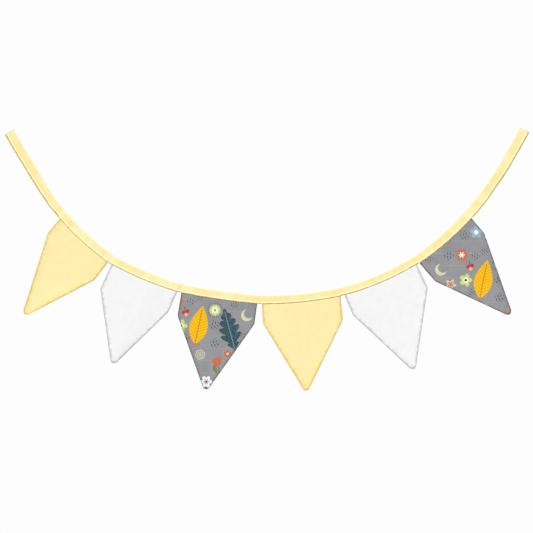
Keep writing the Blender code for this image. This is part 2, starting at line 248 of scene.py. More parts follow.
class Tape:
    """The tape's route: each stretch is an arc, because its slope changes evenly along it."""

    def __init__(self):
        self.rows = []
        station, x, z = 0.0, 0.0, 0.0
        slope, width, off_wall = START_SLOPE, START_WIDTH, 0.0
        for name, length, far_slope, far_width, far_off_wall in STRETCHES:
            row = dict(name=name, station=station, length=length, x=x, z=z, slopes=(slope, far_slope),
                       widths=(width, far_width), off_wall=(off_wall, far_off_wall))
            self.rows.append(row)
            x, z = self.along_arc(row, length)
            station += length
            slope, width, off_wall = far_slope, far_width, far_off_wall
        self.length = station
        pin_x, pin_z = self.place(PIN_INSET, self.at(PIN_INSET)["width"] / 2)
        for row in self.rows:
            row["x"] -= pin_x
            row["z"] -= pin_z
        self.flag_spans = [self.span(flag["stretch"]) for flag in FLAGS]

    @staticmethod
    def along_arc(row, distance):
        turn = math.radians(row["slopes"][1] - row["slopes"][0]) * distance / row["length"]
        chord = distance * (math.sin(turn / 2) / (turn / 2) if turn else 1.0)
        heading = math.radians(row["slopes"][0]) + turn / 2
        return row["x"] + chord * math.cos(heading), row["z"] - chord * math.sin(heading)

    def at(self, station):
        """The upper edge at a station: its place, slope in radians, width and distance off the wall."""
        for row in self.rows:
            if station <= row["station"] + row["length"]:
                break
        distance = min(station - row["station"], row["length"])
        share = distance / row["length"]
        x, z = self.along_arc(row, distance)
        return {
            "x": x,
            "z": z,
            "slope": math.radians(mix(*row["slopes"], share)),
            "width": mix(*row["widths"], share),
            "off_wall": mix(*row["off_wall"], smooth(share)),
        }

    def place(self, station, below):
        """The point that lies a distance below the upper edge, square to it."""
        edge = self.at(station)
        return (edge["x"] - below * math.sin(edge["slope"]), edge["z"] - below * math.cos(edge["slope"]))

    def span(self, name):
        row = next(row for row in self.rows if row["name"] == name)
        return row["station"], row["station"] + row["length"]

    def openness(self, station):
        """1 where a flag keeps the tape's legs apart, and 0 where the tape is bare."""
        return smooth(1.0 - max(0.0, self.from_flags(station)) / OPENING_RAMP)

    def slit(self, station):
        return mix(BARE_SLIT, HEADER + 2 * GAP, self.openness(station))

    def middle(self, station):
        """The depth of the plane midway between the legs."""
        return -(self.at(station)["off_wall"] + LEG + self.slit(station) / 2)

    def from_flags(self, station):
        """How far along the tape the nearest flag is, and less than 0 over a flag."""
        return min(max(left - station, station - right) for left, right in self.flag_spans)

    def bareness(self, station):
        """0 over a flag and beside it, and 1 well away from the flags, on a bare tail."""
        return smooth(self.from_flags(station) / TAIL_RAMP)

    def hem_line(self, station):
        """How far down the tape the stitches along its hem lie, as a share of its width."""
        return mix(*HEM_LINES, smooth(self.from_flags(station) / HEM_LINE_RAMP))

    def pressed(self, station):
        """The tape at a station as pressed: a little uneven in width, and more so on the bare tails."""
        edge = self.at(station)
        wobble = WOBBLE * along_tape("width", station)
        wobble += TAIL_WOBBLE * self.bareness(station) * along_tape("tail width", station)
        edge["width"] += wobble * MM
        return edge

    def crease_shade(self, station, share, side):
        """How much painted shade a point has: in the puckers, in soft patches, and above the hem on the bare
        tails.
        """
        depth = max(0.0, self.pull(station, share, side) / DARK_PULL)
        pucker_shade = depth**PUCKER_POWER * mix(PUCKER_AT_FOLD, 1.0, smooth(share / 0.5))
        lean = mix(-PATCH_LEAN, PATCH_LEAN, smooth((station - LEAN_TURNS) / LEAN_RAMP))
        patch_shade = PATCH_SHADE + PATCH_SHADE_CHANGE * along_tape("patches", station - lean * (share - 0.5), side)
        above_hem = math.exp(-(((share - self.hem_line(station) + HEM_SHADE_UP) / HEM_SHADE_WIDTH) ** 2))
        shade = HEM_SHADE + HEM_SHADE_CHANGE * along_tape("hem shade", station, side)
        return pucker_shade + patch_shade + above_hem * max(0.0, shade) * self.bareness(station)

    def pull(self, station, share, side):
        """How far the outer layer is drawn in by the troughs along the seam."""
        pull = SLIGHT_PULL * along_tape("pull", station, side)
        for where, depth, half, lean in TAPE_TROUGHS:
            middle = where + TROUGH_LEAN * lean * (share - 0.5)
            off = (station / MM - middle) / (TROUGH_SPREAD * half)
            if abs(off) < TROUGH_REACH:
                pull += depth * MM * math.exp(-off * off)
        return pull * smooth(share / PULL_RISE) * (1.0 - PULL_FALL * smooth((share - 0.5) / PULL_FALL_RAMP))

    def relief(self, station, share, side):
        """How far the outer layer stands out from its flat place, a share of the width below the fold."""
        line = self.hem_line(station)
        fullness = 1.0 + CREST_CHANGE * along_tape("crest", station, side)
        fullness += LONG_CREST_CHANGE * along_tape("long crest", station, side)
        rise, fall = smooth((share - line) / CREST_RISE), smooth((share - CREST_END) / (1.0 - CREST_END))
        crest = rise * math.sqrt(max(0.0, 1.0 - fall))
        groove = math.exp(-(((share - line) / GROOVE_WIDTH) ** 2))
        return (CREST * crest * fullness - GROOVE * groove) * MM - self.pull(station, share, side)

    def face(self, station, share, side):
        """A point of the outer layer's outer face: side is 1 for the front and -1 for the back."""
        below = share * self.pressed(station)["width"]
        out = self.slit(station) / 2 + OUTER + CLOTH / 2 + self.relief(station, share, side)
        x, z = self.place(station, below)
        return Vector((x, min(self.middle(station) - side * out, -FACE_OFF_WALL), z))


def sum_of(operation, swapped=False):
    """A method that does one sum on a thread, and with swapped, one that takes the thread last."""

    def method(self, *others):
        numbers = (*others, self) if swapped else (self, *others)
        return self.finish.node("ShaderNodeMath", numbers, operation=operation)

    return method


class Thread:
    """A number on its way through a material's nodes, so that sums on it are written as Python."""

    def __init__(self, finish, socket):
        self.finish, self.socket = finish, socket

    __add__ = __radd__ = sum_of("ADD")
    __sub__ = sum_of("SUBTRACT")
    __rsub__ = sum_of("SUBTRACT", swapped=True)
    __mul__ = __rmul__ = sum_of("MULTIPLY")
    __truediv__ = sum_of("DIVIDE")
    __pow__ = sum_of("POWER")
    __abs__ = sum_of("ABSOLUTE")
    sin = sum_of("SINE")
    cos = sum_of("COSINE")
    mod = sum_of("FLOORED_MODULO")
    floor = sum_of("FLOOR")
    angle_to = sum_of("ARCTAN2")
    high = sum_of("MAXIMUM")

    def inside(self, blur):
        """1 where the number is below 0 and 0 where it is above, over a soft edge."""
        numbers = (self, -1.0 / blur, 0.5)
        return self.finish.node("ShaderNodeMath", numbers, operation="MULTIPLY_ADD", use_clamp=True)

    def eased(self, low, high):
        """0 below low and 1 above high."""
        limits = {"Value": self, "From Min": low, "From Max": high}
        return self.finish.node("ShaderNodeMapRange", limits, interpolation_type="SMOOTHSTEP")


class Finish:
    """One material, built from its nodes."""

    def __init__(self, name, roughness, specular):
        self.material = bpy.data.materials.new(name)
        self.material.use_nodes = True
        self.nodes = self.material.node_tree.nodes
        self.links = self.material.node_tree.links
        self.shader = self.nodes["Principled BSDF"]
        self.shader.inputs["Roughness"].default_value = roughness
        self.shader.inputs["Specular IOR Level"].default_value = specular

    def node(self, kind, inputs=(), output=0, **settings):
        """Adds a node of a kind with its settings, then the values or links of its sockets."""
        made = self.nodes.new(kind)
        for name, value in settings.items():
            setattr(made, name, value)
        for key, value in inputs.items() if isinstance(inputs, dict) else enumerate(inputs):
            self.feed(made.inputs[key], value)
        return Thread(self, made.outputs[output])

    def feed(self, socket, value):
        if isinstance(value, Thread):
            self.links.new(value.socket, socket)
        else:
            socket.default_value = value

    def split(self, vector):
        made = self.nodes.new("ShaderNodeSeparateXYZ")
        self.feed(made.inputs[0], vector)
        return tuple(Thread(self, output) for output in made.outputs)

    def cloth_place(self):
        """The place on the flat cloth, in metres."""
        return self.node("ShaderNodeUVMap", uv_map="cloth")

    def noise(self, vector, scale, detail, stretch=None):
        """Unevenness between 0 and 1, with about scale bumps to the metre."""
        if stretch:
            vector = self.node("ShaderNodeVectorMath", (vector, stretch), operation="MULTIPLY")
        inputs = {"Vector": vector, "Scale": scale, "Detail": detail, "Roughness": 0.55}
        return self.node("ShaderNodeTexNoise", inputs)

    def blend(self, below, above, mask, kind="MIX"):
        """The colour below, with the colour above painted over it where the mask is 1."""
        return self.node("ShaderNodeMix", {0: mask, 6: below, 7: above}, 2, data_type="RGBA", blend_type=kind)

    def attribute(self, name):
        return self.node("ShaderNodeAttribute", output=2, attribute_name=name)

    def edge_distance(self):
        """How far in from the nearest sewn edge, in metres."""
        return self.attribute("edge")

    def paint(self, color):
        self.feed(self.shader.inputs["Base Color"], color)

    def bump(self, strength, distance, height):
        inputs = {"Strength": strength, "Distance": distance, "Height": height}
        self.feed(self.shader.inputs["Normal"], self.node("ShaderNodeBump", inputs))


def rgb(red, green, blue):
    """A colour from its screen values, 0 to 255."""
    linear = (((c / 255 + 0.055) / 1.055) ** 2.4 if c > 10 else c / 3294 for c in (red, green, blue))
    return (*linear, 1.0)


THREAD_PITCH = 0.00058
SLUB_STRETCH = (1500.0, 110.0)  # how many bumps to the metre uneven threads have across and along them
TWIST = 9000.0
COTTON_ROUGHNESS, COTTON_SHEEN = 0.88, 0.25
WEAVE_RELIEF, TAPE_WEAVE_RELIEF, WEAVE_DEPTH = 0.22, 0.12, 0.00022
FLAG_YELLOWS = (rgb(255, 236, 171), rgb(255, 239, 178))
WHITES = (rgb(244, 244, 244), rgb(247, 247, 247))
# The tape's yellows: with painted shade in a crease, flat, and with a painted highlight on the hem
TAPE_YELLOWS = (rgb(253, 233, 161), rgb(255, 245, 186), rgb(255, 248, 200))  # in a crease, flat, on the hem
CREASE_SHADE_RANGE = (-0.35, 0.95)  # how deep a crease is where its tone starts, and where it is full
# A painted highlight along the raised hem, up from its fold: where it fades in, where it fades out, and its
# strength
HIGHLIGHT_FROM, HIGHLIGHT_TO, HEM_HIGHLIGHT = (0.0016, 0.0030), (0.0046, 0.0066), 0.8  # the paler hem, up from its fold
# The thread's yellows: painted shade in the grooves between the plies, and the plies themselves
THREAD_YELLOWS = (rgb(236, 208, 128), rgb(252, 236, 174))
FLOOR_WHITES = (rgb(243, 243, 243), rgb(248, 248, 248))
# Each cotton's painted shade towards its sewn edges, where the rolled rim and the tape's lower fold fall into
# shade:
# the shade's colour, how far in it is full and where it has faded out, in metres, and its strength
EDGE_SHADES = {
    "yellow": ((rgb(249, 243, 222), 0.0024, 0.0120, 0.90), (rgb(231, 223, 170), 0.0016, 0.0050, 0.90)),
    "tape": ((rgb(209, 187, 78), 0.0010, 0.0027, 0.90),),
    "white": ((rgb(232, 232, 235), 0.0022, 0.0080, 0.90), (rgb(227, 227, 230), 0.0016, 0.0048, 0.90)),
    "print": ((rgb(214, 214, 218), 0.0016, 0.0052, 0.90), (rgb(166, 167, 173), 0.0007, 0.0022, 0.85)),
}


def weave(finish, place):
    """A plain weave's height: each thread goes over and under the ones that cross it."""
    drift = finish.noise(place, 90.0, 1.0) * 0.0010
    u, v, _ = finish.split(place)
    warp = (u + drift) * (math.pi / THREAD_PITCH)
    weft = (v - drift) * (math.pi / THREAD_PITCH)
    over, under = warp.sin(), weft.sin()
    crossing = over * under * 0.5 + 0.5
    return abs(over) * crossing + abs(under) * (1.0 - crossing)


def slubs(finish, place):
    """Uneven threads: faint long streaks both ways of the cloth, 0 to 1."""
    along = finish.noise(place, 1.0, 2.0, stretch=(*SLUB_STRETCH, 0.0))
    across = finish.noise(place, 1.0, 2.0, stretch=(*reversed(SLUB_STRETCH), 0.0))
    return (along + across) * 0.5


def finish_cotton(finish, color, place, edges, relief=WEAVE_RELIEF):
    """Gives a cotton its threads, faint mottling, painted shade towards its sewn edges, and weave."""
    threads = weave(finish, place)
    streaks = slubs(finish, place)
    # Painted shade in the hollows between the woven threads, and the uneven threads' own tone.
    shade = threads * 0.04 + streaks * 0.06 + 0.94
    mottle = finish.noise(place, 150.0, 3.0) * 0.030 + 0.985
    tint = finish.node("ShaderNodeCombineColor", (shade * mottle, shade * mottle, shade * mottle * mottle))
    color = finish.blend(color, tint, 1.0, "MULTIPLY")
    distance = finish.edge_distance()
    uneven = (finish.noise(place, 110.0, 2.0) * 2.6 - 0.3).high(0.3)
    # Painted shade along the sewn edges: full near the edge, fading inwards, unevenly wide.
    for tone, full, faded, strength in EDGE_SHADES[edges]:
        seam = (1.0 - (distance / uneven).eased(full, faded)) * strength
        color = finish.blend(color, tone, seam, "MULTIPLY")
    finish.paint(color)
    finish.feed(finish.shader.inputs["Roughness"], 0.92 - threads * 0.10)
    finish.bump(relief, WEAVE_DEPTH, threads + streaks * 0.8 + finish.noise(place, 420.0, 2.0))
    return finish.material


def plain_cotton(name, tones, edges):
    """A plain dyed cotton whose colour wanders softly between two near tones."""
    finish = Finish(name, COTTON_ROUGHNESS, COTTON_SHEEN)
    place = finish.cloth_place()
    wander = finish.noise(place, 60.0, 3.0).eased(0.30, 0.70)
    return finish_cotton(finish, finish.blend(*tones, wander), place, edges)


def tape_cotton(name):
    """The tape's cotton: with painted shade in its creases, and a painted highlight along the raised hem."""
    finish = Finish(name, COTTON_ROUGHNESS, COTTON_SHEEN)
    place = finish.cloth_place()
    # Painted shade in the tape's creases and soft patches.
    crease_shade = finish.attribute("crease_shade").eased(*CREASE_SHADE_RANGE)
    low, high, crest = TAPE_YELLOWS
    color = finish.blend(high, low, crease_shade)
    distance = finish.edge_distance()
    # Painted highlight along the raised hem.
    highlight_mask = distance.eased(*HIGHLIGHT_FROM) * (1.0 - distance.eased(*HIGHLIGHT_TO))
    return finish_cotton(finish, finish.blend(color, crest, highlight_mask * HEM_HIGHLIGHT), place, "tape", TAPE_WEAVE_RELIEF)


class Motif:
    """A printed motif's own place: x and y from its middle, in units of its size."""

    def __init__(self, finish, tile, x, y, size, turn):
        self.finish, self.blur = finish, INK_BLUR / (size * MM)
        where = {
            "Vector": tile,
            "Location": (x * MM, y * MM, 0.0),
            "Rotation": (0.0, 0.0, math.radians(turn)),
            "Scale": (size * MM, size * MM, 1.0),
        }
        self.x, self.y, _ = finish.split(finish.node("ShaderNodeMapping", where, vector_type="TEXTURE"))

    def radius(self, x=0.0, y=0.0, tall=1.0):
        """How far from a point of the motif, where tall stretches the measure upwards."""
        across, up = self.x - x, (self.y - y) / tall
        return (across * across + up * up) ** 0.5

    def disc(self, radius, x=0.0, y=0.0, tall=1.0):
        return (self.radius(x, y, tall) - radius).inside(self.blur)

    def petals(self, count, inner, outer, sharp=1.0):
        """A flower's petals: the outline's radius goes in and out round the middle."""
        swing = abs((self.angle() * (count / 2.0)).cos()) ** sharp
        return (self.radius() - (swing * (outer - inner) + inner)).inside(self.blur)

    def star(self, points, inner):
        turn = self.angle() * (points / (2.0 * math.pi)) + 0.25
        ray = abs(turn.mod(1.0) - 0.5) * 2.0
        return (self.radius() - (ray ** 1.4 * (1.0 - inner) + inner)).inside(self.blur)

    def leaf(self, half_width, lobes=0.0, depth=0.0):
        """A leaf from y = -1 to 1, widest a little below its middle; lobes cut into its sides by a share."""
        edge = (1.0 - self.y * self.y) * half_width * (1.0 - self.y * 0.25)
        if lobes:
            cut = abs(((self.y - abs(self.x) * 0.5) * lobes).sin())
            edge = edge * (1.0 - (1.0 - cut ** 0.6) * depth)
        return (abs(self.x) - edge).high(abs(self.y) - 1.0).inside(self.blur)

    def rings(self, petals, inner, count):
        """A flower drawn as rings of outline, one within the other."""
        swing = abs((self.angle() * (petals / 2.0)).cos()) ** 0.8
        out = self.radius() / (swing * (1.0 - inner) + inner)
        wave = abs((out * count).mod(1.0) - 0.5) - 0.21
        return wave.inside(self.blur * count) * (out - 1.0).inside(self.blur)

    def rays(self, count, low, high, half_width):
        """Short strokes that point at the middle."""
        turn = self.angle() * (count / (2.0 * math.pi))
        off = abs(turn.mod(1.0) - 0.5) * self.radius() * (2.0 * math.pi / count)
        along = abs(self.radius() - (low + high) / 2) - (high - low) / 2
        return (off - half_width).high(along).inside(self.blur)

    def angle(self):
        return self.y.angle_to(self.x)

    def line(self, half_width, low, high):
        """A stem up the motif's middle."""
        along = abs(self.y - (low + high) / 2) - (high - low) / 2
        return (abs(self.x) - half_width).high(along).inside(self.blur)

    def veins(self, count, rise, half_width):
        """Slanting lines out from the middle."""
        phase = ((self.y - abs(self.x) * rise) * count).mod(1.0) - 0.5
        return (abs(phase) / count - half_width).inside(self.blur)

    def leaf_pairs(self, low, pitch, count, reach, plump, turn):
        """Pairs of leaves up a stem, shorter towards its top."""
        high = low + pitch * count
        taper = 1.0 - (self.y - low) * (0.55 / (high - low))
        up = (self.y - low).mod(pitch) - pitch * 0.42
        out = abs(self.x) / taper - reach
        cosine, sine = math.cos(math.radians(turn)), math.sin(math.radians(turn))
        along, across = (out * cosine + up * sine) / reach, (up * cosine - out * sine) / plump
        blade = (along * along + across * across) ** 0.5 - 1.0
        span = abs(self.y - (low + high) / 2) - (high - low) / 2
        return (blade * plump).high(span).inside(self.blur)

    def ticks(self, half_length, half_width, across, up):
        """A handful of short strokes in a round patch, in slanting rows: across and up are their pitches."""
        row = (self.y / up).floor()
        x = (self.x + row * 0.21).mod(across) - across / 2
        y = self.y.mod(up) - up / 2
        slant = x + y * 0.5 * (row.mod(2.0) - 0.5)
        stroke = (abs(slant) - half_width).high(abs(y) - half_length).inside(self.blur)
        return stroke * (self.radius() - 1.0).inside(0.2)


INK = {
    "ground": rgb(152, 153, 157),
    "deep_ground": rgb(146, 147, 151),
    "line": rgb(186, 176, 142),
    "gold": rgb(253, 196, 20),
    "amber": rgb(206, 136, 24),
    "teal": rgb(78, 110, 122),
    "deep_teal": rgb(34, 48, 58),
    "pale_teal": rgb(124, 152, 160),
    "lime": rgb(206, 222, 120),
    "green": rgb(112, 136, 78),
    "coral": rgb(206, 116, 82),
    "rust": rgb(164, 78, 54),
    "cream": rgb(220, 214, 176),
    "peach": rgb(238, 184, 146),
    "white": rgb(250, 249, 247),
    "sky": rgb(150, 188, 204),
    "red": rgb(214, 52, 46),
    "ink": rgb(58, 60, 64),
}
INK_BLUR = 0.35 * MM
REPEAT = (0.208, 0.226)
PANES = 8  # how many of the windowpane's lines the repeat has each way
# The windowpane's lines: place in a pane, half width, and strength, in patches and everywhere
LINES_ACROSS, LINES_UP, LINE_BLUR = (0.012, 0.00045, 0.60, 0.30), (0.014, 0.00035, 0.45, 0.15), 0.0004
# Where the repeat's lower left corner lies on each printed flag, as it was cut
CUTS = {"flag_3_print": (0.3697, -0.5846), "flag_6_print": (1.0237, -0.4796)}


def printed_cotton(name):
    """Grey cotton with a windowpane of thin lines and a scatter of leaves, flowers, stars and sprigs."""
    finish = Finish(name, COTTON_ROUGHNESS, COTTON_SHEEN)
    place = finish.cloth_place()
    u, v, _ = finish.split(place)
    tile = finish.node("ShaderNodeCombineXYZ", (u.mod(REPEAT[0]), v.mod(REPEAT[1]), 0.0))
    wander = finish.noise(place, 30.0, 2.0).eased(0.35, 0.65)
    color = finish.blend(INK["ground"], INK["deep_ground"], wander)
    patches = finish.noise(place, 26.0, 1.0).eased(0.30, 0.62)
    both_ways = ((v, REPEAT[1], *LINES_ACROSS), (u, REPEAT[0], *LINES_UP))
    for flat, repeat, middle, half_width, patchy, even in both_ways:
        line = (abs(flat.mod(repeat / PANES) - middle) - half_width).inside(LINE_BLUR)
        color = finish.blend(color, INK["line"], line * (patches * patchy + even))

    def paint(ink, mask, strength=1.0):
        nonlocal color
        color = finish.blend(color, INK[ink], mask * strength)

    def motif(*where):
        return Motif(finish, tile, *where)

    gold = motif(62, 150, 45, -12)
    blade = gold.leaf(0.46)
    paint("gold", blade)
    paint("amber", blade * gold.veins(6.5, 0.62, 0.014), 0.75)
    paint("amber", blade * gold.line(0.024, -0.94, 0.80))
    paint("amber", gold.line(0.034, -1.18, -0.94))

    teal = motif(132, 141, 49, 15)
    blade = teal.leaf(0.50, 8.6, 0.62)
    speckle = finish.noise(place, 380.0, 1.0).eased(0.43, 0.53)
    paint("teal", blade)
    paint("deep_teal", blade * speckle, 0.85)
    paint("pale_teal", blade * teal.line(0.018, -0.96, 0.84))
    paint("teal", teal.line(0.030, -1.20, -0.96))

    daisy = motif(99, 184, 13, 12)
    paint("lime", daisy.petals(11, 0.80, 1.0, 0.7))
    paint("white", daisy.petals(7, 0.34, 0.66))
    paint("amber", daisy.disc(0.22))
    paint("ink", daisy.rays(22, 1.14, 1.42, 0.045), 0.9)

    tulip = motif(105, 61, 21, 14)
    cup = tulip.disc(0.56, 0.0, 0.42, 1.15)
    notch = (tulip.y - (abs((tulip.x * 5.6).cos()) * 0.26 + 0.52)).inside(tulip.blur)
    paint("green", tulip.line(0.055, -1.15, 0.10))
    side = motif(105, 61, 21, -22)
    paint("green", side.disc(0.17, -0.16, -0.42, 2.6))
    paint("green", tulip.disc(0.15, -0.36, -0.62, 2.4))
    paint("coral", cup * notch)
    paint("rust", cup * notch * (abs(abs(tulip.x) - 0.20) - 0.028).inside(tulip.blur), 0.7)
    poppy = motif(128, 84, 9, 0)
    paint("coral", poppy.petals(4, 0.72, 1.0, 0.7))
    paint("cream", poppy.disc(0.34))
    paint("rust", poppy.rays(10, 0.40, 0.62, 0.05))

    rosette = motif(65, 82, 13, 10)
    paint("cream", rosette.rings(6, 0.86, 3.0), 0.95)
    moon = motif(172, 172, 14, 28)
    paint("cream", moon.disc(0.95) * (1.0 - moon.disc(0.78, 0.42, 0.10)))
    star = motif(194, 138, 14, 8)
    paint("cream", star.star(5, 0.46))
    paint("coral", star.star(5, 0.20) * star.disc(0.5), 0.9)

    flower = motif(79, 20, 14, 0)
    paint("white", flower.petals(6, 0.52, 1.0, 0.8))
    paint("sky", flower.petals(6, 0.18, 0.56, 1.4))
    paint("red", flower.disc(0.20))
    small = motif(45, 32, 14, 20)
    paint("sky", small.petals(5, 0.5, 1.0, 0.8))
    paint("white", small.disc(0.36))
    tiny = motif(152, 36, 9, 0)
    paint("lime", tiny.star(5, 0.42))

    twig = motif(181, 92, 17, -28)
    paint("peach", twig.line(0.05, -1.0, 0.75))
    paint("peach", twig.leaf_pairs(-0.62, 0.46, 3, 0.36, 0.15, 30.0))
    berries = motif(31, 181, 11, 10)
    paint("ink", berries.line(0.06, 0.0, 1.0))
    paint("red", berries.disc(0.40, -0.42, -0.14))
    paint("red", berries.disc(0.40, 0.44, -0.02))
    paint("peach", berries.disc(0.36, 0.02, -0.66))

    lemon = motif(21, 148, 15, 0)
    paint("lime", lemon.petals(5, 0.5, 1.0, 0.8))
    paint("white", lemon.disc(0.40))
    paint("ink", lemon.disc(0.20))
    bloom = motif(12, 206, 15, 0)
    paint("coral", bloom.petals(6, 0.62, 1.0, 0.7))
    paint("white", bloom.petals(6, 0.14, 0.5, 1.6))

    for x, y, size, turn in ((98, 150, 11, 20), (44, 205, 10, -25), (99, 108, 11, 10), (34, 122, 9, 35),
                             (144, 197, 9, -10), (20, 24, 11, 15), (168, 124, 11, -30), (186, 20, 11, 40),
                             (64, 214, 9, 25), (190, 205, 11, -15), (26, 78, 11, -20)):  # fmt: skip
        paint("ink", motif(x, y, size, turn).ticks(0.24, 0.085, 0.62, 0.70), 0.95)
    return finish_cotton(finish, color, place, "print")


def thread_finish(name):
    """Sewing thread: two plies twisted together, with painted shade in the grooves between them."""
    finish = Finish(name, 0.6, 0.3)
    x, y, z = finish.split(finish.node("ShaderNodeTexCoord", output=3))
    twist = ((x + y + z) * TWIST).sin() * 0.5 + 0.5
    finish.paint(finish.blend(*THREAD_YELLOWS, twist))
    finish.bump(0.3, 0.0001, twist)
    return finish.material


def floor_finish(name):
    finish = Finish(name, 0.9, 0.3)
    tone = finish.noise(finish.node("ShaderNodeTexCoord", output=3), 3.0, 3.0)
    finish.paint(finish.blend(*FLOOR_WHITES, tone))
    return finish.material


def put(bm, name, material):
    """Makes the finished piece, smooth all over, at the origin."""
    mesh = bpy.data.meshes.new(name)
    bm.to_mesh(mesh)
    bm.free()
    mesh.shade_smooth()
    mesh.materials.append(material)
    piece = bpy.data.objects.new(name, mesh)
    bpy.context.scene.collection.objects.link(piece)
    return piece


class FlatCloth:
    """A flat grid that has still to be put in place, and the layers that its points carry."""

    def __init__(self, columns, rows):
        self.bm = bmesh.new()
        self.weights = self.bm.verts.layers.deform.verify()
        self.edge = self.bm.verts.layers.float.new("edge")
        self.crease_shade = self.bm.verts.layers.float.new("crease_shade")
        self.place = self.bm.loops.layers.uv.new("cloth")
        bmesh.ops.create_grid(self.bm, x_segments=columns, y_segments=rows, size=0.5)
        self.spots = []
        for vert in self.bm.verts:
            x, y, _ = vert.co
            self.spots.append((vert, round((x + 0.5) * columns), round((0.5 - y) * rows)))

    def unwrap(self, flat_places):
        """Gives each point its place on the flat cloth, in metres."""
        for face in self.bm.faces:
            for loop in face.loops:
                loop[self.place].uv = flat_places[loop.vert]


def strip_columns(tape):
    """What every point of a column of the strip shares, from one end of the tape to the other."""
    steps = round(tape.length / TAPE_PITCH)
    stations = [*TAPE_ENDS, *(tape.length * step / steps for step in range(1, steps))]
    stations += [tape.length - inset for inset in reversed(TAPE_ENDS)]
    columns = []
    for station in stations:
        pinch = smooth(min(station, tape.length - station) / TAPE_ENDS[-1])
        columns.append((station, tape.pressed(station), tape.slit(station) / 2, tape.middle(station), pinch))
    return columns


def strip_rows():
    """The strip's rows from hem to hem: which face they are on, which layer, and how far along it."""
    half = [("hem", share) for share in HEM_SPOTS]
    half += [("lower fold", turn / HEM_FOLD_FACES) for turn in range(HEM_FOLD_FACES + 1)]
    half += [("outer", share) for share in OUTER_SPOTS]
    fold = [(0, "upper fold", turn / FOLD_FACES) for turn in range(FOLD_FACES + 1)]
    return [(1, *row) for row in half] + fold + [(-1, *row) for row in reversed(half)]


def binding(tape, material):
    """The strip folded four times over: hem, outer layer, upper fold, outer layer, hem."""
    columns, rows, strip = strip_columns(tape), strip_rows(), {}
    cloth = FlatCloth(len(columns) - 1, len(rows) - 1)
    wrap = (OUTER - HEM) / 2
    for vert, column, row in cloth.spots:
        station, at, slit, middle, pinch = columns[column]
        side, layer, part = rows[row]
        width, radius, turn = at["width"], slit + OUTER, math.pi * part
        from_fold, crease_shade = 1.0, 0.0
        if layer == "upper fold":
            out, below = radius * math.cos(turn), CLOTH / 2 + radius * (1.0 - math.sin(turn))
            flat = width * (1.0 + HEM_SHARE) + radius * turn
        elif layer == "outer":
            out = side * (radius + tape.relief(station, part, side))
            below, from_fold = part * width, (1.0 - part) * width
            # Painted shade for the outer layer's troughs, creases and soft patches.
            crease_shade = tape.crease_shade(station, part, side)
            flat = width * (HEM_SHARE + 1.0 - part)
        elif layer == "lower fold":
            out = side * (slit + HEM + wrap * (1.0 - math.cos(turn)))
            below = width - CLOTH / 2 - wrap * (1.0 - math.sin(turn))
            from_fold = 0.0
            flat = width * HEM_SHARE
        else:
            out = side * (slit + HEM)
            below = mix(tape.hem_line(station) + HEM_EDGE_DROP, OUTER_SPOTS[0], part) * width
            flat = width * HEM_SHARE * part
        if side < 0:
            flat = 2.0 * width * (1.0 + HEM_SHARE) - flat
        out *= mix(PINCHED, 1.0, pinch)
        x, z = tape.place(station, below)
        vert.co = (x, min(middle - out, -OFF_WALL), z)
        vert[cloth.weights][0] = mix(PINCHED, 1.0, pinch)
        vert[cloth.crease_shade] = crease_shade
        # The painted shade along the lower fold reaches further up on the bare tails, and less far over a
        # flag, where the tape's own shadow on the flag adds to it; near the cut ends the distance is small,
        # which paints shade and highlight there too.
        open_share = tape.openness(station)
        from_fold -= EDGE_SHADE_SHIFTS[0] * (1.0 - open_share) - EDGE_SHADE_SHIFTS[1] * open_share
        vert[cloth.edge] = min(from_fold, END_SHADING[0] * min(station, tape.length - station) + END_SHADING[1])
        # The strip is cut on the bias, so its threads run slantwise.
        strip[vert] = ((station + flat) * math.sqrt(0.5), (station - flat) * math.sqrt(0.5))
    cloth.unwrap(strip)
    bmesh.ops.recalc_face_normals(cloth.bm, faces=cloth.bm.faces)
    piece = put(cloth.bm, "binding_tape_cloth", material)
    piece.vertex_groups.new(name="thickness")
    solidify = piece.modifiers.new("layers", "SOLIDIFY")
    solidify.thickness = CLOTH
    solidify.offset = 0.0
    solidify.vertex_group = "thickness"
    return piece


def topstitching(tape, material):
    """A row of stitches along the hem on both faces: one stitch, doubled until there are enough."""
    bm = bmesh.new()
    number = bm.verts.layers.int.new("stitch")
    bmesh.ops.create_uvsphere(bm, u_segments=6, v_segments=5, radius=1.0)
    # Sorting along one slanting direction puts the sphere's corners and faces in the same order each run.
    slant = Vector((1.0, 3.7, 17.3))
    bm.verts.sort(key=lambda vert: vert.co.dot(slant))
    bm.faces.sort(key=lambda face: face.calc_center_median().dot(slant))
    run = tape.length - 2 * STITCH["inset"]
    a_side = int(run / STITCH["pitch"])
    made = 1
    while made < 2 * a_side:
        for copy in bmesh.ops.duplicate(bm, geom=[*bm.verts, *bm.edges, *bm.faces])["geom"]:
            if isinstance(copy, bmesh.types.BMVert):
                copy[number] += made
        made *= 2
    half, spots = STITCH["length"] / 2, []
    for stitch in range(2 * a_side):
        side = 1 if stitch < a_side else -1
        station = STITCH["inset"] + (stitch % a_side + 0.5) * STITCH["pitch"]
        share = tape.hem_line(station) + STITCH_WANDER * along_tape("stitch line", station, side)
        start, end = (tape.face(station + step * half, share, side) for step in (-1, 1))
        along, outward = (end - start).normalized(), Vector((0.0, -side, 0.0))
        spots.append(((start + end) / 2, along * half, outward, along.cross(outward).normalized()))
    spare = [vert for vert in bm.verts if vert[number] >= len(spots)]
    bmesh.ops.delete(bm, geom=spare, context="VERTS")
    for vert in bm.verts:
        middle, reach, outward, up = spots[vert[number]]
        x, y, z = vert.co
        vert.co = middle + reach * z + (outward * x * STITCH_PLUMP + up * y) * STITCH["radius"]
    bmesh.ops.recalc_face_normals(bm, faces=bm.faces)
    return put(bm, "tape_topstitching", material)


